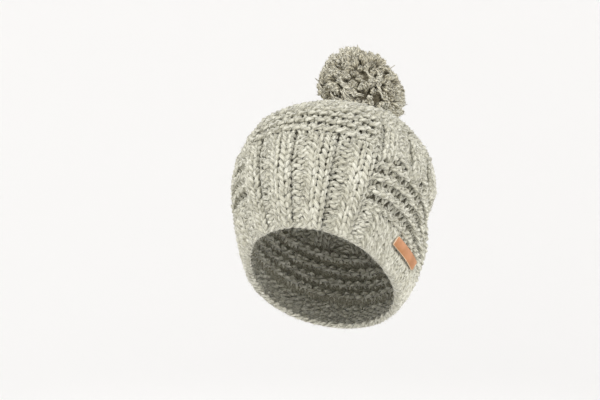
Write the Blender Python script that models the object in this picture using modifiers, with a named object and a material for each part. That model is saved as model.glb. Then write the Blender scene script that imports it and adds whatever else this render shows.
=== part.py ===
"""Bobble hat in chunky wool: a knitted crown, a pompom and a leather tag.

Metres, +Z up, the wearer faces -Y. The hat has the full, tipped-back form that it takes
when it is worn. The origin is the middle of the opening, which is a plane.
"""
import math

import bmesh
import bpy
from mathutils import Matrix, Vector, noise

# The body is an egg: two half ellipsoids that meet at the widest ring
HALF_WIDTH = 0.0985
HALF_LENGTH = 0.1160
HEIGHT_ABOVE_RING = 0.0930
HEIGHT_BELOW_RING = 0.1340
BODY_TILT = math.radians(13.3)

# The knitting runs round an axis of its own, tipped back, and the rim lies square to it
KNIT_TILT = math.radians(39.3)
RIM_BELOW_CENTRE = 0.0920
WALL = 0.0058
RIM_ROUNDING = 0.0018

# The sides and back draw in to a waist and then flare out to the rim, by heights from the centre
WAIST = 0.0070
WAIST_HEIGHT = -0.027
WAIST_REACH = 0.036
FLARE = 0.0095
FLARE_HEIGHTS = (-0.053, -0.127)
SIDES_FROM = (math.radians(60), math.radians(110))

# One column of faces is one stitch wide, one row of faces is half a garter ridge high
STITCHES = 68
ROWS = 34
PANEL_HALF = 7
UNEVENNESS = 0.0008
UNEVEN_SCALE = 24.0

# Depths below the crest for the four stitches of a rib: it rises slowly and falls steeply to a crease
RIB_DEPTHS = (0.0023, 0.0012, 0.0, 0.0048)
OFFSET_RIB_DEPTHS = (0.0012, 0.0, 0.0022, 0.0045)
RIDGE_DEPTH = 0.0034
ROUND_DEPTH = 0.0021
ROUNDS_END = 31

# Textures of the front panel and of the rest, from the rim up: first row, last row, texture
PANEL_BANDS = (
    (0, 12, "ribs"),
    (13, ROUNDS_END, "rounds"),
)
SIDE_BANDS = (
    (0, 4, "plain"),
    (5, 12, "ridges"),
    (13, 18, "offset_ribs"),
    (19, ROUNDS_END, "rounds"),
)

# Pompom: locks of yarn ends on a round head, standing where the knitting closes
POMPOM_RADIUS = 0.0450
POMPOM_HEAD_RADIUS = 0.0350
POMPOM_RISE = 0.0310
POMPOM_ASIDE = 0.0030
POMPOM_LEAN = -0.20
POMPOM_FLATTER = 0.90
LOCKS = 74
LOCK_SIDES = 5
LOCK_FOOT_RADIUS = 0.0050
LOCK_TOP_RADIUS = 0.0078
LOCK_TIP = 0.0035
LOCK_UNEVENNESS = 0.0016
CONTACT_GAP = 0.0006

# Leather tag: middle and heading on the knitting, in stitches from the front and metres from the rim
TAG_LENGTH = 0.0500
TAG_WIDTH = 0.0094
TAG_THICKNESS = 0.0018
TAG_START = (13.40, 0.0239)
TAG_END = (19.70, 0.0272)
TAG_BEND_RADIUS = 0.110
TAG_CORNER = 0.0012
TAG_SINK = 0.0002
TAG_DENT_DEPTH = 0.0030
TAG_DENT_REACH = (0.034, 0.014)

# Steps of the numerical work
MERIDIAN_STEPS = 96
BISECTIONS = 30

GOLDEN_ANGLE = math.pi * (3 - math.sqrt(5))


def tilted(angle):
    """Rotation that tips a shape back, so that its +Z leans towards +Y."""
    return Matrix.Rotation(-angle, 3, "X")


def body_distance(direction):
    """How far the outer surface is from the body's centre along a unit vector."""
    local = tilted(BODY_TILT).transposed() @ direction
    height = HEIGHT_ABOVE_RING if local.z > 0 else HEIGHT_BELOW_RING
    scaled = Vector((local.x / HALF_WIDTH, local.y / HALF_LENGTH, local.z / height))
    return 1 / scaled.length


def knit_direction(azimuth, polar):
    """Unit vector at an azimuth from the front and a polar angle from the knitting's axis."""
    around = Vector((math.sin(azimuth), -math.cos(azimuth), 0)) * math.sin(polar)
    return tilted(KNIT_TILT) @ (around + Vector((0, 0, math.cos(polar))))


def smooth(low, high, value):
    """0 before low, 1 past high and smooth between them."""
    share = min(1.0, max(0.0, (value - low) / (high - low)))
    return share * share * (3 - 2 * share)


def sway(azimuth, height):
    """How far the surface stands outside the plain body: in at the waist and out at the rim."""
    side = smooth(*SIDES_FROM, abs(azimuth))
    waist = 1 - smooth(0, WAIST_REACH, abs(height - WAIST_HEIGHT))
    return side * (FLARE * smooth(*FLARE_HEIGHTS, height) - WAIST * waist)


def centred_point(azimuth, polar):
    """A point of the outer surface, measured from the body's centre."""
    direction = knit_direction(azimuth, polar)
    point = direction * body_distance(direction)
    return point + knit_direction(azimuth, math.pi / 2) * sway(azimuth, point.z)


def rim_polar(azimuth):
    """Polar angle at which the outer surface meets the plane of the rim."""
    low = math.pi / 2
    high = math.pi
    for _ in range(BISECTIONS):
        middle = (low + high) / 2
        depth = -body_distance(knit_direction(azimuth, middle)) * math.cos(middle)
        if depth < RIM_BELOW_CENTRE:
            low = middle
        else:
            high = middle
    return (low + high) / 2


def opening_middle():
    """Middle of the opening, measured from the body's centre."""
    front = centred_point(0, rim_polar(0))
    back = centred_point(math.pi, rim_polar(math.pi))
    return (front + back) / 2


CENTRE = -opening_middle()


class Meridian:
    """The line from the rim to the top of the knitting at one azimuth."""

    def __init__(self, azimuth):
        start = rim_polar(azimuth)
        self.points = []
        self.runs = [0.0]
        for step in range(MERIDIAN_STEPS + 1):
            polar = start * (1 - step / MERIDIAN_STEPS)
            self.points.append(CENTRE + centred_point(azimuth, polar))
        for before, after in zip(self.points, self.points[1:]):
            self.runs.append(self.runs[-1] + (after - before).length)

    def at(self, run):
        """The point that lies this far up the line."""
        run = min(max(run, 0.0), self.runs[-1])
        step = 1
        while step < MERIDIAN_STEPS and self.runs[step] < run:
            step += 1
        share = (run - self.runs[step - 1]) / (self.runs[step] - self.runs[step - 1])
        return self.points[step - 1].lerp(self.points[step], share)


def outward(point):
    """Unit normal of the body at a point of its surface."""
    local = tilted(BODY_TILT).transposed() @ (point - CENTRE)
    height = HEIGHT_ABOVE_RING if local.z > 0 else HEIGHT_BELOW_RING
    slope = Vector((local.x / HALF_WIDTH ** 2, local.y / HALF_LENGTH ** 2, local.z / height ** 2))
    return (tilted(BODY_TILT) @ slope).normalized()


def stitch_azimuth(stitch):
    """Angle of a stitch from the front, which is never more than half a turn."""
    return (stitch / STITCHES - round(stitch / STITCHES)) * 2 * math.pi


def on_knitting(stitch, run):
    """The point of the outer surface at a stitch from the front and a run from the rim."""
    return Meridian(stitch_azimuth(stitch)).at(run)


def tag_frame():
    """Middle of the tag on the outer surface, with the directions along, across and out of it."""
    start = on_knitting(*TAG_START)
    end = on_knitting(*TAG_END)
    middle_stitch = (TAG_START[0] + TAG_END[0]) / 2
    middle_run = (TAG_START[1] + TAG_END[1]) / 2
    middle = on_knitting(middle_stitch, middle_run)
    along = (end - start).normalized()
    out = outward(middle)
    out = (out - along * out.dot(along)).normalized()
    return middle, along, out.cross(along), out


TAG_FRAME = tag_frame()


def band_texture(bands, row):
    for first, last, texture in bands:
        if first <= row <= last:
            return texture
    return "plain"


def texture_depth(texture, stitch, row):
    """How far a texture lies below the crests at one corner of the mesh."""
    if texture == "ribs":
        return RIB_DEPTHS[stitch % 4]
    if texture == "offset_ribs":
        return OFFSET_RIB_DEPTHS[stitch % 4]
    if texture == "ridges":
        return RIDGE_DEPTH if row % 2 == 0 else 0.0
    if texture == "rounds":
        return ROUND_DEPTH if row % 2 == 0 else 0.0
    return 0.0


def tag_dent(point):
    """The wool is pressed in under the tag and springs back round it."""
    middle, along, across, _ = TAG_FRAME
    offset = point - middle
    far = (offset.dot(along) / TAG_DENT_REACH[0]) ** 4 + (offset.dot(across) / TAG_DENT_REACH[1]) ** 4
    return TAG_DENT_DEPTH * max(0.0, 1 - far)


def relief(stitch, row, point):
    """Depth of the knitted surface below the smooth outline."""
    bands = PANEL_BANDS if abs(stitch) <= PANEL_HALF else SIDE_BANDS
    depth = texture_depth(band_texture(bands, row), stitch, row)
    uneven = noise.noise(point * UNEVEN_SCALE) * UNEVENNESS
    return max(depth, tag_dent(point)) + uneven


def material(name, colour, roughness):
    """A Principled material with one colour."""
    made = bpy.data.materials.new(name)
    made.use_nodes = True
    shader = made.node_tree.nodes["Principled BSDF"]
    shader.inputs["Base Color"].default_value = (*colour, 1.0)
    shader.inputs["Roughness"].default_value = roughness
    shader.inputs["Metallic"].default_value = 0.0
    return made


def add_object(name, mesh, collection, finish):
    made = bpy.data.objects.new(name, mesh)
    mesh.materials.clear()
    mesh.materials.append(finish)
    collection.objects.link(made)
    return made


def mesh_from(shape, name):
    mesh = bpy.data.meshes.new(name)
    shape.to_mesh(mesh)
    shape.free()
    return mesh


def make_crown(collection, finish):
    """The knitted wall: a sphere's rings, laid on the worn form and given thickness."""
    shape = bmesh.new()
    bmesh.ops.create_uvsphere(shape, u_segments=STITCHES, v_segments=2 * ROWS, radius=1.0)
    ring_angle = math.pi / (2 * ROWS)
    below = [vertex for vertex in shape.verts if vertex.co.z < -ring_angle / 2]
    bmesh.ops.delete(shape, geom=below, context="VERTS")
    meridians = {}
    for vertex in shape.verts:
        level = math.asin(min(1.0, max(-1.0, vertex.co.z)))
        row = round(level / ring_angle)
        azimuth = 0.0 if row == ROWS else math.atan2(vertex.co.x, -vertex.co.y)
        stitch = round(azimuth * STITCHES / (2 * math.pi))
        if stitch not in meridians:
            meridians[stitch] = Meridian(stitch_azimuth(stitch))
        line = meridians[stitch]
        point = line.at(line.runs[-1] * row / ROWS)
        vertex.co = point - outward(point) * relief(stitch, row, point)
    mesh = mesh_from(shape, "crown")
    crown = add_object("crown", mesh, collection, finish)
    wall = crown.modifiers.new("wall", "SOLIDIFY")
    wall.thickness = WALL
    wall.offset = -1.0
    edge = crown.modifiers.new("rounded rim", "BEVEL")
    edge.limit_method = "ANGLE"
    edge.angle_limit = math.radians(60)
    edge.width = RIM_ROUNDING
    edge.segments = 1
    mesh.shade_smooth()
    return crown


def pompom_centre():
    top = Meridian(0.0).points[-1]
    return top + knit_direction(0.0, 0.0) * POMPOM_RISE + Vector((POMPOM_ASIDE, 0, 0))


def leaning(offset):
    """The pompom leans to one side, where it is pressed flatter."""
    aside = offset.x * POMPOM_FLATTER if offset.x < 0 else offset.x
    return Vector((aside + offset.z * POMPOM_LEAN, offset.y, offset.z))


def clear_of_crown(centre, straight):
    """Lean a corner of the pompom over and bring it in until it stands clear of the crown."""
    offset = leaning(straight)
    share = 1.0
    while share > 0.5:
        point = centre + offset * share
        away = point - CENTRE
        if away.length > body_distance(away.normalized()) + CONTACT_GAP:
            return point
        share -= 0.01
    return centre + offset * share


def lock_directions():
    """Evenly spread directions, by the golden angle."""
    for index in range(LOCKS):
        height = 1 - (2 * index + 1) / LOCKS
        ring = math.sqrt(1 - height * height)
        turn = index * GOLDEN_ANGLE
        yield Vector((ring * math.cos(turn), ring * math.sin(turn), height))


def make_pompom(collection, cutters, finish):
    """Flared locks of yarn ends, fused to a round head."""
    centre = pompom_centre()
    locks = bmesh.new()
    for index, direction in enumerate(lock_directions()):
        lock = bmesh.new()
        swell = noise.noise(direction * 5) * LOCK_UNEVENNESS
        foot = POMPOM_HEAD_RADIUS - 0.004
        top = POMPOM_RADIUS - LOCK_TIP + swell
        bmesh.ops.create_cone(
            lock, cap_ends=True, segments=LOCK_SIDES,
            radius1=LOCK_FOOT_RADIUS, radius2=LOCK_TOP_RADIUS, depth=top - foot,
        )
        lock.faces.ensure_lookup_table()
        caps = [face for face in lock.faces if face.normal.z > 0.9]
        bmesh.ops.poke(lock, faces=caps, offset=LOCK_TIP)
        bmesh.ops.translate(lock, vec=(0, 0, (top + foot) / 2), verts=lock.verts)
        twist = Matrix.Rotation(index * GOLDEN_ANGLE, 4, "Z")
        aim = direction.to_track_quat("Z", "Y").to_matrix().to_4x4()
        bmesh.ops.transform(lock, matrix=aim @ twist, verts=lock.verts)
        for vertex in lock.verts:
            vertex.co = clear_of_crown(centre, vertex.co)
        part = mesh_from(lock, "lock")
        locks.from_mesh(part)
        bpy.data.meshes.remove(part)
    guide = bpy.data.objects.new("pompom_locks", mesh_from(locks, "pompom_locks"))
    guide.hide_render = True
    guide.display_type = "WIRE"
    cutters.objects.link(guide)

    head = bmesh.new()
    bmesh.ops.create_icosphere(head, subdivisions=3, radius=POMPOM_HEAD_RADIUS)
    for vertex in head.verts:
        vertex.co = clear_of_crown(centre, vertex.co)
    pompom = add_object("pompom", mesh_from(head, "pompom"), collection, finish)
    fuse = pompom.modifiers.new("fuse locks", "BOOLEAN")
    fuse.operation = "UNION"
    fuse.solver = "EXACT"
    fuse.use_self = True
    fuse.object = guide
    return pompom


def make_tag(collection, finish):
    """A strip of leather, bent less than the wool that it is pressed into."""
    middle, along, across, out = TAG_FRAME
    shape = bmesh.new()
    bmesh.ops.create_grid(shape, x_segments=12, y_segments=3, size=0.5)
    for vertex in shape.verts:
        vertex.co.x *= TAG_LENGTH
        vertex.co.y *= TAG_WIDTH
    corners = [vertex for vertex in shape.verts if len(vertex.link_edges) == 2]
    bmesh.ops.bevel(
        shape, geom=corners, offset=TAG_CORNER, offset_type="OFFSET", segments=2,
        profile=0.5, affect="VERTICES", material=-1,
    )
    for vertex in shape.verts:
        bow = vertex.co.x ** 2 / (2 * TAG_BEND_RADIUS)
        lift = -TAG_SINK - bow
        vertex.co = middle + along * vertex.co.x + across * vertex.co.y + out * lift
    mesh = mesh_from(shape, "leather_tag")
    tag = add_object("leather_tag", mesh, collection, finish)
    thickness = tag.modifiers.new("thickness", "SOLIDIFY")
    thickness.thickness = TAG_THICKNESS
    thickness.offset = 1.0
    return tag


def remove_everything():
    for existing in list(bpy.data.objects):
        bpy.data.objects.remove(existing, do_unlink=True)


def main():
    remove_everything()
    scene = bpy.context.scene
    collection = bpy.data.collections.new("bobble_hat")
    scene.collection.children.link(collection)
    cutters = bpy.data.collections.new("cutters")
    scene.collection.children.link(cutters)
    wool = material("grey_wool", (0.46, 0.45, 0.38), 0.95)
    yarn_ends = material("grey_pompom_yarn", (0.40, 0.39, 0.32), 0.95)
    leather = material("tan_leather", (0.60, 0.28, 0.11), 0.55)
    make_crown(collection, wool)
    make_pompom(collection, cutters, yarn_ends)
    make_tag(collection, leather)


main()
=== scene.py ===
"""Looks of the bobble hat: every row of its knitting, the pompom's yarn ends and the leather tag."""

import math

import bmesh
import bpy
import numpy as np
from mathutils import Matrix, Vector


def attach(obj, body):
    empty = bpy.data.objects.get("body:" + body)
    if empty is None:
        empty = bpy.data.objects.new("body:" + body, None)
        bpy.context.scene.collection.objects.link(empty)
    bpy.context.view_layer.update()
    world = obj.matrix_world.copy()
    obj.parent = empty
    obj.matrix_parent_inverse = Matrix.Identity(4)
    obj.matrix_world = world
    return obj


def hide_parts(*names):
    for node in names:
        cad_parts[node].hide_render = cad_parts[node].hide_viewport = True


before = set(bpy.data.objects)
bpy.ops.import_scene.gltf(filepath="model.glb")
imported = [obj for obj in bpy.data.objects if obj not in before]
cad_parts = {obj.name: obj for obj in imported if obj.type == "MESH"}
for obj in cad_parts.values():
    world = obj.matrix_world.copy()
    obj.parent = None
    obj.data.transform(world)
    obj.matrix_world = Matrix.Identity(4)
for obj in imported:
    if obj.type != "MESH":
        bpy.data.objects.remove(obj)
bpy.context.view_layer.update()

MM = 0.001
FULL_TURN = 2 * math.pi

# The worn form: two half ellipsoids on one widest ring, and a knitting axis tipped back
HALF_WIDTH = 0.0985
HALF_LENGTH = 0.1160
HEIGHT_ABOVE_RING = 0.0930
HEIGHT_BELOW_RING = 0.1340
BODY_TILT = math.radians(13.3)
KNIT_TILT = math.radians(39.3)
RIM_BELOW_CENTRE = 0.0920

# The sides and back draw in to a waist and then flare out to the rim, by heights from the centre
WAIST = 0.0070
WAIST_HEIGHT = -0.027
WAIST_REACH = 0.036
FLARE = 0.0095
FLARE_HEIGHTS = (-0.053, -0.127)
SIDES_FROM = (math.radians(60), math.radians(110))

# The top is pressed flatter: by a share of its height over a level, eased in over a few mm
PRESSED_ABOVE = 0.076
PRESSED_SHARE = 0.24
PRESSED_EASE = 0.008

# The knitting: stitches round, and where each texture ends, in rows from the rim
STITCHES = 68
ROWS = 43
LOW_ROUNDS_END = 15
MIDDLE_ROUNDS_END = 28
FEWEST_STITCHES = 7
PANEL_HALF = 7
PANEL_RIB_ROWS = 15
PLAIN_ROWS = 6
WELT_ROWS = 14
SIDE_RIB_ROWS = 22

# Rows against the share of the way from the rim to the top, in the front panel and round the sides
PANEL_HEIGHTS = ((0, 15, 43), (0.0, 0.357, 0.985))
SIDE_HEIGHTS = ((0, 6, 14, 22, 43), (0.0, 0.150, 0.377, 0.550, 0.985))

# A rib repeats every four stitches, from the crease on the right of a knit pair: its depths in mm at some
# places, and how far the edge of each stitch is shifted, because the first purl stitch is the widest
RIB_REPEAT = 4
RIB_PLACES = (0.0, 0.35, 0.8, 1.3, 1.8, 2.4, 3.1, 3.6, 3.85, 4.0)
RIB_DEPTHS = (5.9, 3.5, 2.4, 2.2, 1.5, 0.5, 0.0, 0.8, 3.2, 5.9)
RIB_EDGES = (-0.05, 0.15, -0.25, -0.20)
RIB_SAMPLE = 0.05
RIB_SOFTENING = 2
SIDE_RIB_START = 11.3
WELT_DEPTH = 0.0052
ROUND_DEPTH = 0.0026

# One stitch of yarn: its radius, and how far the loop leans, reaches over the next rows and dives
YARN_RADIUS = 0.0021
LOOP_LEAN = 0.22
LOOP_REACH = 0.78
LOOP_DEPTH = 0.0018
GARTER_LOOP_DEPTH = 0.0032
GARTER_PAIRING = 0.07
LOOP_POINTS = 12
LOWEST_HEIGHT = 0.15
SIDE_BLEND = 0.25
YARN_SIDES = 6

# Garter stitches open most on the wearer's left, and close up over some rows round the side ribs' end
OPEN_MEAN = 0.72
OPEN_SWING = 0.28
OPEN_LOST = 0.6
OPEN_LOST_ROWS = (-2, 3)

# How much fuller or thinner the yarn is in garter feet, garter legs, knit stitches and the last rows
GARTER_FULLER = 0.06
GARTER_LEGS_THINNER = 0.24
KNIT_FULLER = 0.09
TOP_THINNER = 0.25
TOP_THINNER_ROWS = 8

# A slow random wander along a row: the points from knot to knot, and its size
DRIFT_ASIDE = (7, 0.05)
DRIFT_UP = (7, 0.07)
DRIFT_OUT = (9, 0.25 * MM)
DRIFT_RADIUS = (16, 0.08)
DRIFT_STRAND_RADIUS = (12, 0.08)
GARTER_DRIFT_ASIDE = (9, 0.06)
GARTER_DRIFT_OUT = (11, 0.45 * MM)

# The cast-on strands: their heights are in rows and follow a share of the relief
CAST_ON_STRANDS = 2
CAST_ON_POINTS = 8
CAST_ON_HEIGHT = 0.22
CAST_ON_SWING = 0.18
CAST_ON_RELIEF = 0.6
CAST_ON_TWIST = 1.3 * MM
CAST_ON_RADIUS = 0.0019

# Metres over which lengths of yarn start, so that no two have the same streaks
RUN_SPREAD = 5

# The sheet in the wall, whose dark outer side is painted shade in the gaps between the loops
BACKING_LEVELS = 44
BACKING_FIRST_ROW = 0.7
BACKING_BEHIND = 0.2 * MM
BACKING_THICKNESS = 0.0008

# The pompom, where the knitting closes
POMPOM_RADIUS = 0.0445
POMPOM_RISE = 0.0310
POMPOM_ASIDE = 0.0030
POMPOM_LEAN = -0.20
POMPOM_FLATTER = 0.90
POMPOM_CORE = 0.018
HEART_RADIUS = 0.036
HEART_GAP = 2 * MM

# Its cut ends: three plies each, pushed apart along a few partings, in clumps and each a little bent
YARN_ENDS = 820
END_PLIES = 3
PLY_RADIUS = 0.0013
PLY_SIDES = 5
PLY_TWIST = 4.0
END_SHARES = np.array([0.0, 0.35, 0.6, 0.8, 0.94, 1.0])
END_WIDTHS = np.array([0.8, 0.95, 1.0, 1.2, 1.3, 0.6])
END_SINK = -0.5 * MM
END_BEND = 2.8 * MM
END_JITTER = 0.055
END_UNEVENNESS = 1.5 * MM
PARTINGS = 9
PARTING_CORE = 0.02
PARTING_PUSH = 0.05
PARTING_REACH = 0.25
CLUMP_SIZE = 1.8 * MM
CLUMP_WAVES = (np.array([5.1, 2.7, -3.3]), np.array([-2.2, 6.1, 3.7]))
SIDEWAYS = [0.3, -0.5, 0.8]
SHORTENING = 0.5 * MM
SHORTENING_STEPS = 90

# Two-ply lengths that lie across its front: where, which way and how wide
CROSSING_LENGTHS = 34
CROSSING_PLACE = np.array([-0.25, -0.85, -0.10])
CROSSING_WAY = np.array([0.62, -0.12, -0.78])
CROSSING_WIDTHS = np.array([0.7, 0.9, 0.9, 0.9, 0.85, 0.5]) * MM
CROSSING_PLIES = 2

# Single plies that stand out past the rest, and the one that strays at the picture's left
LOOSE_ENDS = 25
LOOSE_ROOT = 9 * MM
LOOSE_WAY = np.array([-0.3, -0.3, 0.6])
LOOSE_WIDTHS = np.array([1.0, 1.0, 0.95, 0.9, 0.75, 0.4])
STRAY_WAY = np.array([-0.93, -0.30, 0.20])
STRAY_BEND = np.array([0, 0, 5.0]) * MM
STRAY_RUN = 13 * MM

# Loose fibres: how many, the gamma law of their lengths in mm, the least and the most, and half their width
CROWN_FIBRES = 22000
EDGE_FIBRES = 4000
POMPOM_FIBRES = 18000
WALL_FIBRE_LAW = (2.2, 1.2)
WALL_FIBRE_LENGTHS = (0.8 * MM, 7 * MM)
POMPOM_FIBRE_LAW = (3.0, 0.8)
POMPOM_FIBRE_LENGTHS = (0.6 * MM, 6 * MM)
FIBRE_HALF_WIDTH_MM = 0.075

# The wool that the tag presses in
TAG_DENT_DEPTH = 0.0034
TAG_DENT_REACH = (0.029, 0.0080)

# The tag's rounded edges, and how far from its face's direction a side is a raw cut
TAG_EDGE_ROUNDING = 0.0003
TAG_SHARP = math.radians(50)
TAG_MERGE = 0.00002
TAG_FACE_ALONG = 0.85

# Wool: metres of yarn in one turn of its plies, and the streaks along it and round it
PLY_LENGTH = 0.020
PLIES = 3
STREAKS_ALONG = 190.0
STREAKS_ROUND = 11.0

# The floor: flat to a radius, then swept up by equal steps of an arc
FLOOR_RADIUS = 1.5
FLOOR_DROP = 0.40
FLOOR_SIDES = 72
SWEEP_RADIUS = 1.4
SWEEP_STEPS = 12
SWEEP_STEP = 7

# The lamps: name, place from the body's middle, size across, power and colour
LAMPS = (
    ("key", (-0.8, -1.35, 1.3), 0.55, 20, (1.0, 0.99, 0.97)),
    ("fill", (1.5, -1.0, 0.8), 0.7, 12, (1.0, 0.99, 0.98)),
    ("left_edge_light", (-0.65, 0.40, 0.10), 0.3, 0.8, (1.0, 1.0, 1.0)),
    ("right_edge_light", (0.65, 0.30, -0.05), 0.3, 1.4, (1.0, 1.0, 1.0)),
)

# The camera: where the body's middle stands in the 600 by 400 picture
PICTURE_WIDTH = 600
PICTURE_HEIGHT = 400
CAMERA_AZIMUTH = math.radians(16.3)
CAMERA_ELEVATION = math.radians(3.35)
CAMERA_DISTANCE = 1.16
LENS = 72.0
SENSOR = 36.0
BODY_PIXEL = (334.8, 193.0)

rng = np.random.default_rng(20)


def smooth(low, high, value):
    """0 before low, 1 past high and smooth between them."""
    share = np.clip((value - low) / (high - low), 0, 1)
    return share * share * (3 - 2 * share)


def unit(vectors):
    """The same directions, one long."""
    return vectors / np.maximum(np.linalg.norm(vectors, axis=-1, keepdims=True), 1e-12)


def lean(points, angle):
    """Points tipped about X, so that +Z leans towards +Y."""
    x, y, z = np.moveaxis(np.asarray(points, float), -1, 0)
    cosine = math.cos(angle)
    sine = math.sin(angle)
    return np.stack([x, y * cosine + z * sine, z * cosine - y * sine], -1)


def half_height(local):
    """Height of the half ellipsoid on this side of the widest ring."""
    return np.where(local[..., 2] > 0, HEIGHT_ABOVE_RING, HEIGHT_BELOW_RING)


def body_distance(directions):
    """How far the smooth outer surface is from the body's centre."""
    local = lean(directions, -BODY_TILT)
    scaled = np.stack([
        local[..., 0] / HALF_WIDTH,
        local[..., 1] / HALF_LENGTH,
        local[..., 2] / half_height(local),
    ], -1)
    return 1 / np.linalg.norm(scaled, axis=-1)


def knit_direction(azimuth, polar):
    """Direction from the body's centre, by the knitting's own axis."""
    around = np.stack([np.sin(polar) * np.sin(azimuth), -np.sin(polar) * np.cos(azimuth), np.cos(polar)], -1)
    return lean(around, KNIT_TILT)


def sway(azimuth, height):
    """How far the surface stands outside the plain body: in at the waist and out at the rim."""
    side = smooth(*SIDES_FROM, np.abs(azimuth))
    waist = 1 - smooth(0, WAIST_REACH, np.abs(height - WAIST_HEIGHT))
    return side * (FLARE * smooth(*FLARE_HEIGHTS, height) - WAIST * waist)


def pressed(height):
    """How far the top stands below the plain body."""
    over = np.maximum(height - PRESSED_ABOVE, 0)
    return PRESSED_SHARE * over * smooth(0, PRESSED_EASE, over)


def centred_points(azimuth, polar):
    """Points of the outer surface, measured from the body's centre."""
    directions = knit_direction(azimuth, polar)
    points = directions * body_distance(directions)[..., None]
    square = knit_direction(azimuth, math.pi / 2 + 0 * polar)
    points = points + square * sway(azimuth, points[..., 2])[..., None]
    points[..., 2] -= pressed(points[..., 2])
    return points


class WornForm:
    """The outer surface, addressed by stitch from the front and by share of the way from rim to top."""

    # The table of polar angles: its lines round, levels up and lowest share, and how each line is walked
    LOWEST_SHARE = -0.03
    LINES = 181
    LEVELS = 160
    STEPS = 260
    BELOW_RIM = 0.14
    BISECTIONS = 30

    def __init__(self):
        azimuth = np.linspace(-math.pi, math.pi, self.LINES)
        rim = self.rim_polar(azimuth)
        ends = np.array([0, math.pi])
        self.centre = -centred_points(ends, self.rim_polar(ends)).mean(axis=0)
        polar = (rim + self.BELOW_RIM)[:, None] * (1 - np.linspace(0, 1, self.STEPS))
        points = centred_points(azimuth[:, None] + 0 * polar, polar)
        steps = np.linalg.norm(np.diff(points, axis=1), axis=2)
        runs = np.concatenate([np.zeros((self.LINES, 1)), np.cumsum(steps, axis=1)], 1)
        shares = np.linspace(self.LOWEST_SHARE, 1, self.LEVELS)
        self.table = np.zeros((self.LINES, self.LEVELS))
        for line in range(self.LINES):
            at_rim = np.interp(-rim[line], -polar[line], runs[line])
            length = runs[line, -1] - at_rim
            self.table[line] = np.interp(shares * length, runs[line] - at_rim, polar[line])

    @classmethod
    def rim_polar(cls, azimuth):
        """Angle from the knitting's axis at which the rim's plane cuts the body."""
        low = np.full(azimuth.shape, math.pi / 2)
        high = np.full(azimuth.shape, math.pi)
        for _ in range(cls.BISECTIONS):
            middle = (low + high) / 2
            depth = -body_distance(knit_direction(azimuth, middle)) * np.cos(middle)
            low = np.where(depth < RIM_BELOW_CENTRE, middle, low)
            high = np.where(depth < RIM_BELOW_CENTRE, high, middle)
        return (low + high) / 2

    def polar(self, stitch, share):
        """Angle from the knitting's axis, read from the table."""
        line = (stitch / STITCHES + 0.5) % 1 * (self.LINES - 1)
        level = (share - self.LOWEST_SHARE) / (1 - self.LOWEST_SHARE) * (self.LEVELS - 1)
        level = np.clip(level, 0, self.LEVELS - 1.001)
        a = np.minimum(line.astype(int), self.LINES - 2)
        b = level.astype(int)
        u = line - a
        v = level - b
        low = self.table[a, b] * (1 - v) + self.table[a, b + 1] * v
        high = self.table[a + 1, b] * (1 - v) + self.table[a + 1, b + 1] * v
        return low * (1 - u) + high * u

    def normal(self, points):
        """Outward normal of the smooth body."""
        local = lean(points - self.centre, -BODY_TILT)
        slope = np.stack([
            local[..., 0] / HALF_WIDTH ** 2,
            local[..., 1] / HALF_LENGTH ** 2,
            local[..., 2] / half_height(local) ** 2,
        ], -1)
        return unit(lean(slope, BODY_TILT))

    def place(self, stitch, share, out):
        """Points at a stitch and share, moved out along the surface's normal, and the normals."""
        values = [np.asarray(value, float) for value in (stitch, share, out)]
        stitch, share, out = np.broadcast_arrays(*values)
        azimuth = ((stitch / STITCHES + 0.5) % 1 - 0.5) * FULL_TURN
        points = self.centre + centred_points(azimuth, self.polar(stitch, share))
        normals = self.normal(points)
        return points + normals * (out - tag_dent(points))[..., None], normals


def tag_frame():
    """Middle of the tag, and the directions along, across and out of it, from its CAD node."""
    corners = np.array([vertex.co[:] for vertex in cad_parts["leather_tag"].data.vertices])
    middle = corners.mean(axis=0)
    _, _, (along, across, out) = np.linalg.svd(corners - middle, full_matrices=False)
    return middle, along, across, out if out[0] > 0 else -out


TAG_MIDDLE, TAG_ALONG, TAG_ACROSS, TAG_OUT = tag_frame()


def tag_dent(points):
    """The wool is pressed in under the tag and springs back round it."""
    offset = points - TAG_MIDDLE
    far = (offset @ TAG_ALONG / TAG_DENT_REACH[0]) ** 4 + (offset @ TAG_ACROSS / TAG_DENT_REACH[1]) ** 4
    return TAG_DENT_DEPTH * np.clip(1 - far, 0, 1)


form = WornForm()


def row_share(stitch, row):
    """Share of the way up at which a row lies."""
    panel = np.interp(row, *PANEL_HEIGHTS)
    side = np.interp(row, *SIDE_HEIGHTS)
    blend = smooth(5.5, 10.0, np.abs(stitch))
    return panel * (1 - blend) + side * blend


def rib_depth(places):
    """Depth below the crests: knit pairs stand out and dive steeply into a crease on one side."""
    fine = np.arange(0, RIB_REPEAT, RIB_SAMPLE)
    depths = np.interp(fine, RIB_PLACES, RIB_DEPTHS)
    shifts = range(-RIB_SOFTENING, RIB_SOFTENING + 1)
    soft = sum(np.roll(depths, shift) for shift in shifts) / len(shifts)
    return np.interp(places % RIB_REPEAT, fine, soft, period=RIB_REPEAT) * MM


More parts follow.
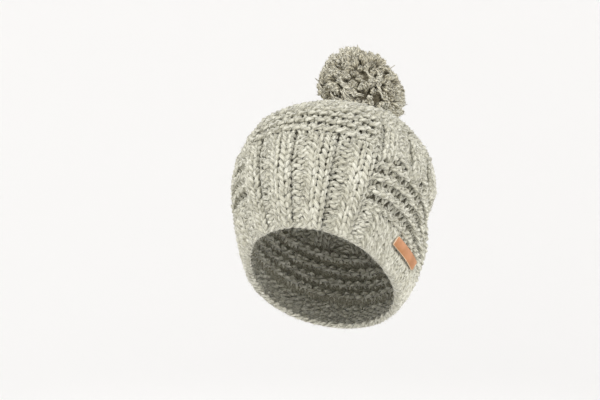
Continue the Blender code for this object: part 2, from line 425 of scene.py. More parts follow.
def relief(stitch, row):
    """Depth of the knitting below its crests. Each texture passes into the next over about a row."""
    panel = smooth(PANEL_HALF + 0.3, PANEL_HALF - 0.3, np.abs(stitch))
    low_ribs = smooth(PANEL_RIB_ROWS + 0.8, PANEL_RIB_ROWS - 0.4, row)
    welts = smooth(PLAIN_ROWS - 0.6, PLAIN_ROWS + 0.4, row) * smooth(WELT_ROWS + 0.5, WELT_ROWS - 0.5, row)
    side_ribs = smooth(WELT_ROWS - 0.5, WELT_ROWS + 0.5, row)
    side_ribs = side_ribs * smooth(SIDE_RIB_ROWS + 1.0, SIDE_RIB_ROWS - 1.0, row)
    furrows = 0.5 + 0.5 * np.cos((row - 7) * math.pi)
    front = rib_depth(stitch + 1.0) * low_ribs
    side = WELT_DEPTH * furrows * welts + rib_depth(SIDE_RIB_START - stitch) * side_ribs
    rounds_from = PANEL_RIB_ROWS * panel + SIDE_RIB_ROWS * (1 - panel)
    rounds = ROUND_DEPTH * furrows * smooth(0.0, 1.0, row - rounds_from)
    return front * panel + side * (1 - panel) + rounds


def is_knit(stitch, row):
    """The chart: a knit stitch shows its two legs, and a purl stitch its arcs."""
    if -PANEL_HALF <= stitch < PANEL_HALF:
        if row < PANEL_RIB_ROWS:
            return stitch % RIB_REPEAT in (1, 2)
    elif row < PLAIN_ROWS:
        return stitch not in (PANEL_HALF, PANEL_HALF + 1, -PANEL_HALF - 1, -PANEL_HALF - 2)
    elif WELT_ROWS <= row < SIDE_RIB_ROWS:
        return stitch % RIB_REPEAT in (3, 0)
    return row % 2 == 1


def drift(count, step, size):
    """A slow random wander along a closed row, one value for each point."""
    knots = max(4, count // step)
    values = rng.normal(0, size, knots)
    places = np.arange(count) * knots / count
    low = places.astype(int)
    share = smooth(0, 1, places - low)
    return values[low % knots] * (1 - share) + values[(low + 1) % knots] * share


def stitches_in(row):
    """Stitches in a round: it loses some as the crown closes."""
    if row < SIDE_RIB_ROWS:
        return STITCHES
    ring = np.linspace(-STITCHES / 2, STITCHES / 2, 121)
    lengths = []
    for height in (SIDE_RIB_ROWS - 1.0, row + 0.5):
        points, _ = form.place(ring, row_share(ring, np.full(121, height)), 0.0)
        lengths.append(np.linalg.norm(np.diff(points, axis=0), axis=1).sum())
    return max(FEWEST_STITCHES, round(STITCHES * lengths[1] / lengths[0]))


def side_shown(columns, row, place):
    """1 where the stitches of a row are knit and -1 where they are purl, smooth between them."""
    signs = np.array([1.0 if is_knit(column, row) else -1.0 for column in columns])
    number = place.astype(int)
    within = place - number
    before = signs[number - 1]
    here = signs[number]
    after = signs[(number + 1) % len(columns)]
    entering = before + (here - before) * smooth(-SIDE_BLEND, SIDE_BLEND, within)
    leaving = here + (after - here) * smooth(1 - SIDE_BLEND, 1 + SIDE_BLEND, within)
    return np.where(within < 0.5, entering, leaving)


def row_path(row):
    """The middle of the yarn along one round, with the surface's normals and the yarn's radius."""
    count = stitches_in(row)
    points = count * LOOP_POINTS
    turn = np.arange(points) * FULL_TURN / LOOP_POINTS
    place = turn / FULL_TURN
    width = STITCHES / count
    first = -STITCHES // 2
    columns = [math.floor(first + (index + 0.5) * width) for index in range(count)]
    at_foot = side_shown(columns, row, place)
    at_head = side_shown(columns, row + 1, place)

    # Garter is where the side shown changes from one row to the next
    stretched = OPEN_MEAN + OPEN_SWING * np.sin((first + place * width) * FULL_TURN / STITCHES)
    open_garter = stretched * (1 - OPEN_LOST * smooth(*OPEN_LOST_ROWS, row - SIDE_RIB_ROWS))
    garter = np.abs(at_foot - at_head) / 2 * open_garter
    paired = garter * (GARTER_PAIRING * np.sin(turn) + drift(points, *GARTER_DRIFT_ASIDE))

    # Across and up: each loop leans, and the panel's ribs shift their stitches' edges
    stitch = first + (place + LOOP_LEAN * np.sin(2 * turn) + paired + drift(points, *DRIFT_ASIDE)) * width
    panel = smooth(PANEL_HALF, PANEL_HALF - 1, np.abs(stitch))
    panel = panel * smooth(PANEL_RIB_ROWS + 1, PANEL_RIB_ROWS - 1, row)
    edges = np.interp((stitch - 3) % RIB_REPEAT, np.arange(RIB_REPEAT), RIB_EDGES, period=RIB_REPEAT)
    stitch = stitch + panel * edges
    height = row + 0.5 - LOOP_REACH * np.cos(turn) + drift(points, *DRIFT_UP)
    height = np.maximum(height, LOWEST_HEIGHT)

    # In and out: a loop dives behind the rows that it holds
    side = at_foot * (1 + np.cos(turn)) / 2 + at_head * (1 - np.cos(turn)) / 2
    dive = LOOP_DEPTH + (GARTER_LOOP_DEPTH - LOOP_DEPTH) * garter
    out = -YARN_RADIUS - LOOP_DEPTH - relief(stitch, height) - side * dive * np.cos(2 * turn)
    out += drift(points, *DRIFT_OUT) + garter * drift(points, *GARTER_DRIFT_OUT)
    middle, normals = form.place(stitch, row_share(stitch, height), out)

    drawn_in = 1.0 - TOP_THINNER * smooth(ROWS - TOP_THINNER_ROWS, ROWS, row)
    knit = np.clip(np.minimum(at_foot, at_head), 0, 1)
    fullness = 1 + garter * (GARTER_FULLER - GARTER_LEGS_THINNER * np.sin(turn) ** 2) + KNIT_FULLER * knit
    radius = YARN_RADIUS * (1 + drift(points, *DRIFT_RADIUS)) * drawn_in * fullness
    return middle, normals, radius


def cast_on_path(number):
    """One of the strands that twist round each other along the rim."""
    points = STITCHES * CAST_ON_POINTS
    place = np.arange(points) / float(CAST_ON_POINTS)
    angle = place * FULL_TURN / 2 + number * FULL_TURN / CAST_ON_STRANDS
    stitch = -STITCHES / 2 + place
    height = CAST_ON_HEIGHT + CAST_ON_SWING * np.sin(angle)
    depth = relief(stitch, height) * CAST_ON_RELIEF
    out = -YARN_RADIUS - LOOP_DEPTH - depth + CAST_ON_TWIST * np.cos(angle)
    middle, normals = form.place(stitch, row_share(stitch, height), out)
    return middle, normals, CAST_ON_RADIUS * (1 + drift(points, *DRIFT_STRAND_RADIUS))


class Tubes:
    """Lengths of yarn joined in one mesh. Its UV is the run along the yarn and the turn round it."""

    def __init__(self):
        self.corners = []
        self.quads = []
        self.quad_uvs = []
        self.caps = []
        self.cap_uvs = []
        self.count = 0

    def add(self, middle, inward, radius, sides, closed):
        """One length of yarn. Its seam faces inward."""
        number = len(middle)
        if closed:
            along = np.roll(middle, -1, axis=0) - np.roll(middle, 1, axis=0)
            gaps = np.linalg.norm(np.roll(middle, -1, axis=0) - middle, axis=1)
        else:
            along = np.gradient(middle, axis=0)
            gaps = np.linalg.norm(np.diff(middle, axis=0), axis=1)
        along = unit(along)
        first = unit(inward - along * (inward * along).sum(1, keepdims=True))
        second = np.cross(along, first)
        angle = np.arange(sides) * FULL_TURN / sides
        ring = first[:, None] * np.cos(angle)[:, None] + second[:, None] * np.sin(angle)[:, None]
        radius = np.broadcast_to(np.asarray(radius, float), (number,))
        self.corners.append((middle[:, None] + ring * radius[:, None, None]).reshape(-1, 3))
        spans = number if closed else number - 1
        i = np.repeat(np.arange(spans), sides)
        j = np.tile(np.arange(sides), spans)
        next_i = (i + 1) % number
        next_j = (j + 1) % sides
        quads = np.stack([next_i * sides + j, next_i * sides + next_j, i * sides + next_j, i * sides + j], 1)
        self.quads.append(quads + self.count)
        run = np.concatenate([[0], np.cumsum(gaps)]) + rng.uniform(0, RUN_SPREAD)
        u = np.stack([run[i + 1], run[i + 1], run[i], run[i]], 1)
        v = np.stack([j, j + 1, j + 1, j], 1) / sides
        self.quad_uvs.append(np.stack([u, v], -1))
        if not closed:
            last = (number - 1) * sides
            self.caps.append(np.arange(sides)[None, ::-1] + self.count)
            self.caps.append(np.arange(sides)[None] + last + self.count)
            self.cap_uvs.append(np.full((2, sides, 2), run[0]))
        self.count += number * sides

    def mesh(self, name):
        groups = [np.concatenate(self.quads)]
        uvs = [np.concatenate(self.quad_uvs).reshape(-1, 2)]
        if self.caps:
            groups.append(np.concatenate(self.caps))
            uvs.append(np.concatenate(self.cap_uvs).reshape(-1, 2))
        return mesh_of(name, np.concatenate(self.corners), groups, np.concatenate(uvs))


def mesh_of(name, corners, groups, uvs=None):
    """A mesh from its corners and from groups of faces that have equally many corners."""
    made = bpy.data.meshes.new(name)
    made.vertices.add(len(corners))
    made.vertices.foreach_set("co", corners.astype(np.float32).ravel())
    loops = np.concatenate([group.ravel() for group in groups]).astype(np.int32)
    sizes = np.concatenate([np.full(len(group), group.shape[1]) for group in groups])
    made.loops.add(len(loops))
    made.loops.foreach_set("vertex_index", loops)
    made.polygons.add(len(sizes))
    made.polygons.foreach_set("loop_start", (np.cumsum(sizes) - sizes).astype(np.int32))
    if uvs is not None:
        layer = made.uv_layers.new(name="yarn")
        layer.data.foreach_set("uv", uvs.astype(np.float32).ravel())
    made.update(calc_edges=True)
    made.validate()
    made.shade_smooth()
    return made


def mesh_from(shape, name):
    """A smooth mesh from a finished bmesh, which it frees."""
    made = bpy.data.meshes.new(name)
    shape.to_mesh(made)
    shape.free()
    made.shade_smooth()
    return made


def add_piece(name, mesh, finish, replaced=None):
    """A piece of the hat, with its finish and the slot that it takes it from."""
    piece = bpy.data.objects.new(name, mesh)
    bpy.context.scene.collection.objects.link(piece)
    mesh.materials.clear()
    mesh.materials.append(finish)
    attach(piece, "root")
    if replaced:
        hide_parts(replaced)
    return piece


def new_material(name):
    """A material with its nodes, its links and its main shader."""
    made = bpy.data.materials.new(name)
    made.use_nodes = True
    return made, made.node_tree.nodes, made.node_tree.links, made.node_tree.nodes["Principled BSDF"]


def ramp(nodes, stops):
    """A colour ramp from its stops."""
    made = nodes.new("ShaderNodeValToRGB")
    made.color_ramp.elements[0].position = stops[0][0]
    made.color_ramp.elements[0].color = (*stops[0][1], 1)
    made.color_ramp.elements[1].position = stops[-1][0]
    made.color_ramp.elements[1].color = (*stops[-1][1], 1)
    for position, colour in stops[1:-1]:
        made.color_ramp.elements.new(position).color = (*colour, 1)
    return made


def calculate(nodes, links, operation, first, second=None, third=None):
    """A Math node, whose inputs are sockets or numbers."""
    made = nodes.new("ShaderNodeMath")
    made.operation = operation
    for socket, value in zip(made.inputs, (first, second, third)):
        if isinstance(value, (int, float)):
            socket.default_value = value
        elif value is not None:
            links.new(value, socket)
    return made.outputs["Value"]


def noise(nodes, links, place, scale, detail=2.0):
    """A noise texture over a place."""
    made = nodes.new("ShaderNodeTexNoise")
    made.inputs["Scale"].default_value = scale
    made.inputs["Detail"].default_value = detail
    links.new(place, made.inputs["Vector"])
    return made


def own_place(nodes):
    """The piece's own coordinates."""
    return nodes.new("ShaderNodeTexCoord").outputs["Object"]


def tint(nodes, links, shader, amount, stops):
    """Colour the shader by the ramp that an amount runs along."""
    colours = ramp(nodes, stops)
    links.new(amount, colours.inputs["Fac"])
    links.new(colours.outputs["Color"], shader.inputs["Base Color"])


def emboss(nodes, links, shader, height, distance, strength=1.0):
    """Bump the shader by a height."""
    bump = nodes.new("ShaderNodeBump")
    bump.inputs["Strength"].default_value = strength
    bump.inputs["Distance"].default_value = distance
    links.new(height, bump.inputs["Height"])
    links.new(bump.outputs["Normal"], shader.inputs["Normal"])


def painted_ball_shade(nodes, links, place, middle):
    """Painted shade, darker further in: what is added to the tone by the distance from the pompom's middle.
    """
    away = nodes.new("ShaderNodeVectorMath")
    away.operation = "DISTANCE"
    away.inputs[1].default_value = middle
    links.new(place, away.inputs[0])
    deep = nodes.new("ShaderNodeMapRange")
    deep.inputs["From Min"].default_value = POMPOM_RADIUS - 0.009
    deep.inputs["From Max"].default_value = POMPOM_RADIUS + 0.002
    deep.inputs["To Min"].default_value = -0.17
    deep.inputs["To Max"].default_value = 0.03
    links.new(away.outputs["Value"], deep.inputs["Value"])
    return deep.outputs["Result"]


def wool_and_shade_material(name, tones, ball_middle=None):
    """Marled wool: streaks that follow the twist of the plies, painted shade in the grooves between the
    plies, and in a ball, painted shade that deepens further in.
    """
    made, nodes, links, shader = new_material(name)
    uv = nodes.new("ShaderNodeUVMap")
    uv.uv_map = "yarn"
    split = nodes.new("ShaderNodeSeparateXYZ")
    links.new(uv.outputs["UV"], split.inputs["Vector"])
    run = split.outputs["X"]
    twisted = calculate(nodes, links, "MULTIPLY_ADD", run, 1 / PLY_LENGTH, split.outputs["Y"])
    wave = calculate(nodes, links, "SINE", calculate(nodes, links, "MULTIPLY", twisted, PLIES * math.pi))
    ply = calculate(nodes, links, "ABSOLUTE", wave)

    place = nodes.new("ShaderNodeCombineXYZ")
    links.new(calculate(nodes, links, "MULTIPLY", run, STREAKS_ALONG), place.inputs["X"])
    links.new(calculate(nodes, links, "MULTIPLY", twisted, STREAKS_ROUND), place.inputs["Y"])
    streaks = noise(nodes, links, place.outputs["Vector"], scale=1.0, detail=5.0)
    streaks.inputs["Roughness"].default_value = 0.78

    where = own_place(nodes)
    patches = noise(nodes, links, where, scale=90.0)
    mixed = calculate(nodes, links, "MULTIPLY_ADD", patches.outputs["Fac"], 0.25,
                      calculate(nodes, links, "MULTIPLY", streaks.outputs["Fac"], 0.75))
    # Painted shade: the grooves between the plies are darker than their ridges.
    shaded = calculate(nodes, links, "MULTIPLY_ADD", ply, 0.09, mixed)
    if ball_middle is not None:
        # Painted shade: the pompom's wool darkens towards the ball's middle.
        shaded = calculate(nodes, links, "ADD", shaded, painted_ball_shade(nodes, links, where, ball_middle))
    tint(nodes, links, shader, shaded, tones)
    height = calculate(nodes, links, "MULTIPLY_ADD", streaks.outputs["Fac"], 0.7, ply)
    emboss(nodes, links, shader, height, distance=0.0012)
    shader.inputs["Roughness"].default_value = 0.95
    shader.inputs["Specular IOR Level"].default_value = 0.12
    shader.inputs["Sheen Weight"].default_value = 0.40
    shader.inputs["Sheen Roughness"].default_value = 0.30
    return made


def fibre_material(name, dark, light):
    """Single wool fibres: pale, soft and matt."""
    made, nodes, links, shader = new_material(name)
    patches = noise(nodes, links, own_place(nodes), scale=700.0)
    tint(nodes, links, shader, patches.outputs["Fac"], [(0.35, dark), (0.65, light)])
    shader.inputs["Roughness"].default_value = 0.9
    shader.inputs["Specular IOR Level"].default_value = 0.1
    shader.inputs["Sheen Weight"].default_value = 0.1
    return made


def felt_and_shade_material(name, dark, light):
    """A grainy, matt finish. The dark ones are painted shade, in the gaps between the loops and in the
    pompom's heart; the pale one is the wall's inner side.
    """
    made, nodes, links, shader = new_material(name)
    grain = noise(nodes, links, own_place(nodes), scale=600.0, detail=5.0)
    tint(nodes, links, shader, grain.outputs["Fac"], [(0.35, dark), (0.7, light)])
    emboss(nodes, links, shader, grain.outputs["Fac"], distance=0.001)
    shader.inputs["Roughness"].default_value = 1.0
    return made


def leather_material(name, dark, light):
    """Tanned leather, with clouds of colour and a fine grain."""
    made, nodes, links, shader = new_material(name)
    where = own_place(nodes)
    clouds = noise(nodes, links, where, scale=70.0, detail=4.0)
    tint(nodes, links, shader, clouds.outputs["Fac"], [(0.35, dark), (0.65, light)])
    grain = nodes.new("ShaderNodeTexVoronoi")
    grain.inputs["Scale"].default_value = 1400.0
    links.new(where, grain.inputs["Vector"])
    emboss(nodes, links, shader, grain.outputs["Distance"], distance=0.0003, strength=0.3)
    shader.inputs["Roughness"].default_value = 0.55
    return made


def knit_rows(name, first, last, finish, replaced=None):
    """A band of rounds, each one closed length of yarn. Returns their paths."""
    tubes = Tubes()
    paths = [row_path(row) for row in range(first, last)]
    for middle, normals, radius in paths:
        tubes.add(middle, -normals, radius, YARN_SIDES, closed=True)
    add_piece(name, tubes.mesh(name), finish, replaced)
    return paths


def make_cast_on(finish):
    """The cast-on edge: strands twisted along the rim. Returns their paths."""
    tubes = Tubes()
    paths = [cast_on_path(number) for number in range(CAST_ON_STRANDS)]
    for middle, normals, radius in paths:
        tubes.add(middle, -normals, radius, YARN_SIDES, closed=True)
    add_piece("cast_on_edge", tubes.mesh("cast_on_edge"), finish)
    return paths


def fibre_lengths(count, law, shortest, longest):
    """Random lengths of loose fibres, most of them short."""
    return np.minimum(rng.gamma(*law, count) * MM + shortest, longest)


def fibres(name, roots, outward, along, lengths, finish):
    """Loose fibres: a bent, tapering sliver on each root."""
    count = len(roots)
    standing = outward * rng.uniform(0.1, 0.9, (count, 1))
    lying = along * rng.choice([-1, 1], (count, 1)) * rng.uniform(0.3, 1.2, (count, 1))
    heading = unit(standing + lying + rng.normal(0, 0.3, (count, 3)))
    bent = unit(heading + rng.normal(0, 0.5, (count, 3)))
    side = unit(np.cross(heading, rng.normal(0, 1, (count, 3)))) * FIBRE_HALF_WIDTH_MM * MM
    middle = roots + heading * lengths[:, None] * 0.5
    tip = middle + bent * lengths[:, None] * 0.5
    corners = np.stack([roots - side, roots + side, middle + side * 0.8, middle - side * 0.8, tip], 1)
    start = np.arange(count)[:, None] * 5
    quads = start + np.array([[0, 1, 2, 3]])
    tips = start + np.array([[3, 2, 4]])
    add_piece(name, mesh_of(name, corners.reshape(-1, 3), [quads, tips]), finish)


def fuzz_on(name, paths, count, finish):
    """Fibres that stand off the outer half of the yarn, and lie short under the tag."""
    middle = np.concatenate([path[0] for path in paths])
    normals = np.concatenate([path[1] for path in paths])
    radius = np.concatenate([path[2] for path in paths])
    along = np.concatenate([unit(np.roll(path[0], -1, axis=0) - path[0]) for path in paths])
    chosen = rng.integers(0, len(middle), count)
    side = unit(np.cross(along[chosen], normals[chosen]))
    angle = rng.uniform(-1.3, 1.3, (count, 1))
    out = unit(normals[chosen] * np.cos(angle) + side * np.sin(angle))
    slid = along[chosen] * rng.uniform(-1.5, 1.5, (count, 1)) * MM
    roots = middle[chosen] + out * radius[chosen, None] * 0.92 + slid
    lengths = fibre_lengths(count, WALL_FIBRE_LAW, *WALL_FIBRE_LENGTHS)
    lengths = np.where(tag_dent(roots) > 0, WALL_FIBRE_LENGTHS[0], lengths)
    fibres(name, roots, out, along[chosen], lengths, finish)


def make_backing(outer_shade_finish, inner_finish):
    """A thin sheet in the middle of the wall, open at the rim and paler inside. Its dark outer side is
    painted shade that shows in the gaps between the loops.
    """
    step = math.pi / (2 * BACKING_LEVELS)
    shape = bmesh.new()
    bmesh.ops.create_uvsphere(shape, u_segments=STITCHES * 2, v_segments=2 * BACKING_LEVELS, radius=1.0)
    below = [vertex for vertex in shape.verts if vertex.co.z < step / 2]
    bmesh.ops.delete(shape, geom=below, context="VERTS")
    places = np.array([vertex.co[:] for vertex in shape.verts])
    level = np.arcsin(np.clip(places[:, 2], -1, 1)) / step
    top = level > BACKING_LEVELS - 0.5
    stitch = np.where(top, 0.0, np.arctan2(places[:, 0], -places[:, 1])) * STITCHES / FULL_TURN
    row = BACKING_FIRST_ROW + (level - 1) / (BACKING_LEVELS - 1) * (ROWS - BACKING_FIRST_ROW)
    depth = YARN_RADIUS + LOOP_DEPTH + relief(stitch, row) + BACKING_BEHIND
    share = np.where(top, 1.0, row_share(stitch, row))
    points, _ = form.place(stitch, share, -depth)
    for vertex, point in zip(shape.verts, points):
        vertex.co = point
    mesh = mesh_from(shape, "wall_backing")
    piece = add_piece("wall_backing", mesh, outer_shade_finish)
    mesh.materials.append(inner_finish)
    thickness = piece.modifiers.new("thickness", "SOLIDIFY")
    thickness.thickness = BACKING_THICKNESS
    thickness.material_offset = 1


def pompom_middle():
    """The pompom's middle, above the place where the knitting closes."""
    up = knit_direction(np.array(0.0), np.array(0.0))
    return form.centre + up * (body_distance(up) + POMPOM_RISE) + np.array([POMPOM_ASIDE, 0, 0])


def leaning(offsets):
    """The pompom leans to one side, where it is pressed flatter."""
    x, y, z = np.moveaxis(offsets, -1, 0)
    return np.stack([np.where(x < 0, x * POMPOM_FLATTER, x) + z * POMPOM_LEAN, y, z], -1)


def clear_of_crown(middle, directions, reach, gap=END_SINK):
    """Shorten each length from the middle until it ends a gap outside the crown's outer surface."""
    for _ in range(SHORTENING_STEPS):
        away = middle + leaning(directions * reach[:, None]) - form.centre
        away[:, 2] += pressed(away[:, 2])
        inside = np.linalg.norm(away, axis=1) < body_distance(unit(away)) + gap
        reach = np.where(inside, reach - SHORTENING, reach)
    return reach


def end_directions():
    """Directions of the yarn ends: evenly spread, then pushed apart along a few partings."""
    index = np.arange(YARN_ENDS)
    height = 1 - (2 * index + 1) / YARN_ENDS
    ring = np.sqrt(1 - height ** 2)
    turn = index * math.pi * (3 - math.sqrt(5))
    directions = np.stack([ring * np.cos(turn), ring * np.sin(turn), height], 1)
    directions = unit(directions + rng.normal(0, END_JITTER, (YARN_ENDS, 3)))
    for parting in unit(rng.normal(0, 1, (PARTINGS, 3))):
        away = directions - parting
        distance = np.linalg.norm(away, axis=1, keepdims=True)
        faded = np.exp(-(distance / PARTING_REACH) ** 2)
        directions = unit(directions + away / np.maximum(distance, PARTING_CORE) * PARTING_PUSH * faded)
    return directions


def add_plied_end(tubes, spine, side, other, spread, widths, plies):
    """Twist a few plies round a spine. Returns their tips."""
    start = rng.uniform(0, FULL_TURN)
    shares = np.linspace(0, 1, len(spine))
    tips = []
    for ply in range(plies):
        angle = start + ply * FULL_TURN / plies + shares * PLY_TWIST
        path = spine + side * (np.cos(angle) * spread)[:, None] + other * (np.sin(angle) * spread)[:, None]
        tubes.add(path, np.tile(side, (len(path), 1)), widths, PLY_SIDES, closed=False)
        tips.append(path[-2])
    return tips


def add_yarn_ends(tubes, middle):
    """The cut ends of plied yarn. Returns the tips of their plies and the ways they point."""
    directions = end_directions()
    clumps = np.sin(directions @ CLUMP_WAVES[0] + 1) * np.sin(directions @ CLUMP_WAVES[1])
    reach = POMPOM_RADIUS - 1.0 * MM + CLUMP_SIZE * clumps + rng.normal(0, END_UNEVENNESS, YARN_ENDS)
    reach = clear_of_crown(middle, directions, reach)
    tips = []
    ways = []
    for direction, length in zip(directions, reach):
        side = unit(np.cross(direction, SIDEWAYS))
        other = np.cross(direction, side)
        bend = side * rng.normal(0, END_BEND) + other * rng.normal(0, END_BEND)
        run = POMPOM_CORE + (length - POMPOM_CORE) * END_SHARES
        spine = middle + leaning(direction * run[:, None] + bend * (END_SHARES ** 2)[:, None])
        spread = (1.05 + 0.65 * END_SHARES ** 3 * rng.uniform(0.5, 1.6)) * MM
        tips += add_plied_end(tubes, spine, side, other, spread, END_WIDTHS * PLY_RADIUS, END_PLIES)
        ways += [direction] * END_PLIES
    return np.array(tips), np.array(ways)


def add_crossing_lengths(tubes, middle):
    """Lengths of yarn that lie across the front of the ball."""
    steps = np.linspace(-1, 1, len(CROSSING_WIDTHS))
    spread = np.full(len(steps), 0.8 * MM)
    for _ in range(CROSSING_LENGTHS):
        aim = unit(rng.normal(0, 0.42, 3) + CROSSING_PLACE)
        heading = unit(CROSSING_WAY + rng.normal(0, 0.28, 3))
        heading = unit(heading - aim * (heading @ aim))
        half = rng.uniform(6, 12) * MM
        spine = aim * (POMPOM_RADIUS + 0.5 * MM) + heading * (steps * half)[:, None]
        away = POMPOM_RADIUS + rng.uniform(-2.0, 1.0) * MM - 3 * MM * (steps < -0.9)
        spine = middle + leaning(unit(spine) * away[:, None])
        side = np.cross(heading, aim)
        add_plied_end(tubes, spine, side, aim, spread, CROSSING_WIDTHS, CROSSING_PLIES)


def add_loose_end(tubes, middle, aim, bend, run):
    """One ply that stands out past the rest."""
    start = clear_of_crown(middle, aim[None], np.array([POMPOM_RADIUS]))[0] - LOOSE_ROOT
    path = aim * (start + run * END_SHARES)[:, None] + bend * (END_SHARES ** 2)[:, None]
    side = unit(np.cross(aim, SIDEWAYS))
    width = LOOSE_WIDTHS * rng.uniform(0.45, 0.8) * MM
    tubes.add(middle + leaning(path), np.tile(side, (len(path), 1)), width, PLY_SIDES, closed=False)


def make_heart(finish, middle):
    """The dark heart that shows between the yarn ends: painted shade deep in the ball."""
    shape = bmesh.new()
    bmesh.ops.create_icosphere(shape, subdivisions=4, radius=1.0)
    ways = unit(np.array([vertex.co[:] for vertex in shape.verts]))
    distances = clear_of_crown(middle, ways, np.full(len(ways), HEART_RADIUS), HEART_GAP)
    for vertex, point in zip(shape.verts, middle + leaning(ways * distances[:, None])):
        vertex.co = point
    add_piece("pompom_heart_shade", mesh_from(shape, "pompom_heart_shade"), finish)


def make_pompom(yarn, heart_shade_finish, loose):
    """Cut ends of plied yarn crowded on a dark heart of painted shade, a few lengths across them, and fuzz.
    """
    middle = pompom_middle()
    tubes = Tubes()
    tips, ways = add_yarn_ends(tubes, middle)
    add_crossing_lengths(tubes, middle)
    add_loose_end(tubes, middle, unit(STRAY_WAY), STRAY_BEND, STRAY_RUN)
    for _ in range(LOOSE_ENDS):
        aim = unit(rng.normal(0, 1, 3) + LOOSE_WAY)
        add_loose_end(tubes, middle, aim, rng.normal(0, 3.5 * MM, 3), rng.uniform(8, 11) * MM)
    add_piece("pompom_yarn_ends", tubes.mesh("pompom_yarn_ends"), yarn, "pompom")
    make_heart(heart_shade_finish, middle)

    chosen = rng.integers(0, len(tips), POMPOM_FIBRES)
    roots = tips[chosen] + rng.normal(0, 0.9 * MM, (POMPOM_FIBRES, 3))
    lengths = fibre_lengths(POMPOM_FIBRES, POMPOM_FIBRE_LAW, *POMPOM_FIBRE_LENGTHS)
    fibres("pompom_fuzz", roots, ways[chosen], ways[chosen], lengths, loose)


def make_tag(face_finish, edge_finish):
    """The tag's own solid with its edges rounded, and a paler raw cut all round."""
    shape = bmesh.new()
    shape.from_mesh(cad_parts["leather_tag"].data)
    bmesh.ops.remove_doubles(shape, verts=shape.verts, dist=TAG_MERGE)
    inner = [edge for edge in shape.edges if len(edge.link_faces) == 2]
    sharp = [edge for edge in inner if edge.calc_face_angle() > TAG_SHARP]
    bmesh.ops.bevel(shape, geom=sharp, offset=TAG_EDGE_ROUNDING, segments=2, profile=0.5,
                    affect="EDGES", material=-1)
    mesh = mesh_from(shape, "leather_tag_finished")
    add_piece("leather_tag_finished", mesh, face_finish, "leather_tag")
    mesh.materials.append(edge_finish)
    normals = np.array([polygon.normal[:] for polygon in mesh.polygons])
    areas = np.array([polygon.area for polygon in mesh.polygons])
    main = unit((normals * areas[:, None])[normals @ np.array([1.0, 0, 0]) > 0.5].sum(0))
    for polygon in mesh.polygons:
        if abs(np.dot(polygon.normal, main)) < TAG_FACE_ALONG:
            polygon.material_index = 1


def make_stage():
    """A plain pale floor that sweeps up all round."""
    profile = [(0.0, 0.0), (FLOOR_RADIUS, 0.0)]
    for step in range(1, SWEEP_STEPS + 1):
        angle = math.radians(step * SWEEP_STEP)
        distance = FLOOR_RADIUS + SWEEP_RADIUS * math.sin(angle)
        profile.append((distance, SWEEP_RADIUS * (1 - math.cos(angle))))
    shape = bmesh.new()
    corners = [shape.verts.new((distance, 0.0, height - FLOOR_DROP)) for distance, height in profile]
    edges = [shape.edges.new(pair) for pair in zip(corners, corners[1:])]
    bmesh.ops.spin(shape, geom=corners + edges, cent=(0, 0, 0), axis=(0, 0, 1), angle=FULL_TURN,
                   steps=FLOOR_SIDES, use_merge=True)
    bmesh.ops.remove_doubles(shape, verts=shape.verts, dist=0.0001)
    bmesh.ops.recalc_face_normals(shape, faces=shape.faces)
    mesh = mesh_from(shape, "floor")
    floor = bpy.data.objects.new("floor", mesh)
    bpy.context.scene.collection.objects.link(floor)
    made, _, _, shader = new_material("pale_floor")
    shader.inputs["Base Color"].default_value = (0.93, 0.925, 0.92, 1)
    shader.inputs["Roughness"].default_value = 0.9
    mesh.materials.append(made)


def add_light(name, place, target, size, power, colour):
    """A round lamp aimed at a target, which the camera doesn't see."""
    data = bpy.data.lights.new(name, "AREA")
    data.shape = "DISK"
    data.size = size
    data.energy = power
    data.color = colour
    lamp = bpy.data.objects.new(name, data)
    bpy.context.scene.collection.objects.link(lamp)
    lamp.visible_camera = False
    lamp.location = place
    lamp.rotation_euler = (Vector(target) - Vector(place)).to_track_quat("-Z", "Y").to_euler()


def make_camera():
    """The camera, aimed so that the body's middle stands where the picture shows it."""
    centre = Vector(form.centre)
    right = Vector((math.cos(CAMERA_AZIMUTH), math.sin(CAMERA_AZIMUTH), 0))
    back = Vector((
        math.sin(CAMERA_AZIMUTH) * math.cos(CAMERA_ELEVATION),
        -math.cos(CAMERA_AZIMUTH) * math.cos(CAMERA_ELEVATION),
        math.sin(CAMERA_ELEVATION),
    ))
    up = back.cross(right)
    pixel = CAMERA_DISTANCE * SENSOR / LENS / PICTURE_WIDTH
    aside = (BODY_PIXEL[0] - PICTURE_WIDTH / 2) * pixel
    above = (PICTURE_HEIGHT / 2 - BODY_PIXEL[1]) * pixel
    target = centre - right * aside - up * above
    place = centre + back * CAMERA_DISTANCE
    data = bpy.data.cameras.new("camera")
    data.lens = LENS
    data.sensor_width = SENSOR
    camera = bpy.data.objects.new("camera", data)
    bpy.context.scene.collection.objects.link(camera)
    camera.location = place
    camera.rotation_euler = (target - place).to_track_quat("-Z", "Y").to_euler()
    bpy.context.scene.camera = camera


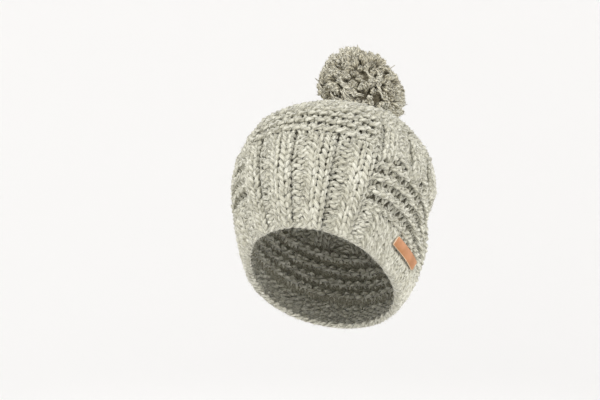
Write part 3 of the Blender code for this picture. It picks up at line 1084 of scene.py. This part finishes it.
def make_light():
    """Soft daylight from all round, a lamp at the upper left, a weaker one at the right and two behind."""
    world = bpy.data.worlds.new("studio")
    world.use_nodes = True
    background = world.node_tree.nodes["Background"]
    background.inputs["Color"].default_value = (0.97, 0.965, 0.96, 1)
    background.inputs["Strength"].default_value = 0.85
    bpy.context.scene.world = world
    bpy.context.scene.view_settings.view_transform = "Standard"
    target = Vector(form.centre)
    for name, place, size, power, colour in LAMPS:
        add_light(name, target + Vector(place), target, size, power, colour)


make_camera()
make_stage()
make_light()

# The knitting's wool, with painted shade in the grooves between its plies.
wool = wool_and_shade_material("marled_wool_and_shade", [
    (0.37, (0.20, 0.185, 0.13)),
    (0.48, (0.42, 0.405, 0.320)),
    (0.57, (0.58, 0.565, 0.470)),
    (0.68, (0.79, 0.78, 0.69)),
])
# The pompom's wool, with painted shade that deepens towards the ball's middle.
pompom_wool_and_shade = wool_and_shade_material("pompom_wool_and_shade", [
    (0.30, (0.15, 0.125, 0.075)),
    (0.45, (0.56, 0.515, 0.385)),
    (0.56, (0.79, 0.75, 0.60)),
    (0.67, (0.92, 0.90, 0.78)),
], pompom_middle())
wool_fibres = fibre_material("wool_fibres", (0.40, 0.39, 0.33), (0.80, 0.79, 0.72))
# Painted shade: the dark outer side of the wall's sheet, seen in the gaps between the loops.
felt = felt_and_shade_material("backing_sheet", (0.045, 0.040, 0.026), (0.15, 0.14, 0.105))
# Painted shade: the dark heart deep in the pompom.
heart = felt_and_shade_material("pompom_heart_shade", (0.10, 0.085, 0.055), (0.26, 0.235, 0.165))
inner_felt = felt_and_shade_material("inner_felted_wool", (0.20, 0.19, 0.14), (0.50, 0.48, 0.39))
leather = leather_material("tan_leather", (0.33, 0.135, 0.042), (0.46, 0.205, 0.088))
cut_leather = leather_material("raw_cut_leather", (0.70, 0.50, 0.33), (0.88, 0.72, 0.54))

make_pompom(pompom_wool_and_shade, heart, wool_fibres)
low_rows = knit_rows("knit_low_rounds", 0, LOW_ROUNDS_END, wool, "crown")
middle_rows = knit_rows("knit_middle_rounds", LOW_ROUNDS_END, MIDDLE_ROUNDS_END, wool)
top_rows = knit_rows("knit_top_rounds", MIDDLE_ROUNDS_END, ROWS, wool)
edge_rows = make_cast_on(wool)
make_backing(felt, inner_felt)
fuzz_on("crown_fuzz", low_rows + middle_rows + top_rows, CROWN_FIBRES, wool_fibres)
fuzz_on("edge_fuzz", edge_rows, EDGE_FIBRES, wool_fibres)
make_tag(leather, cut_leather)
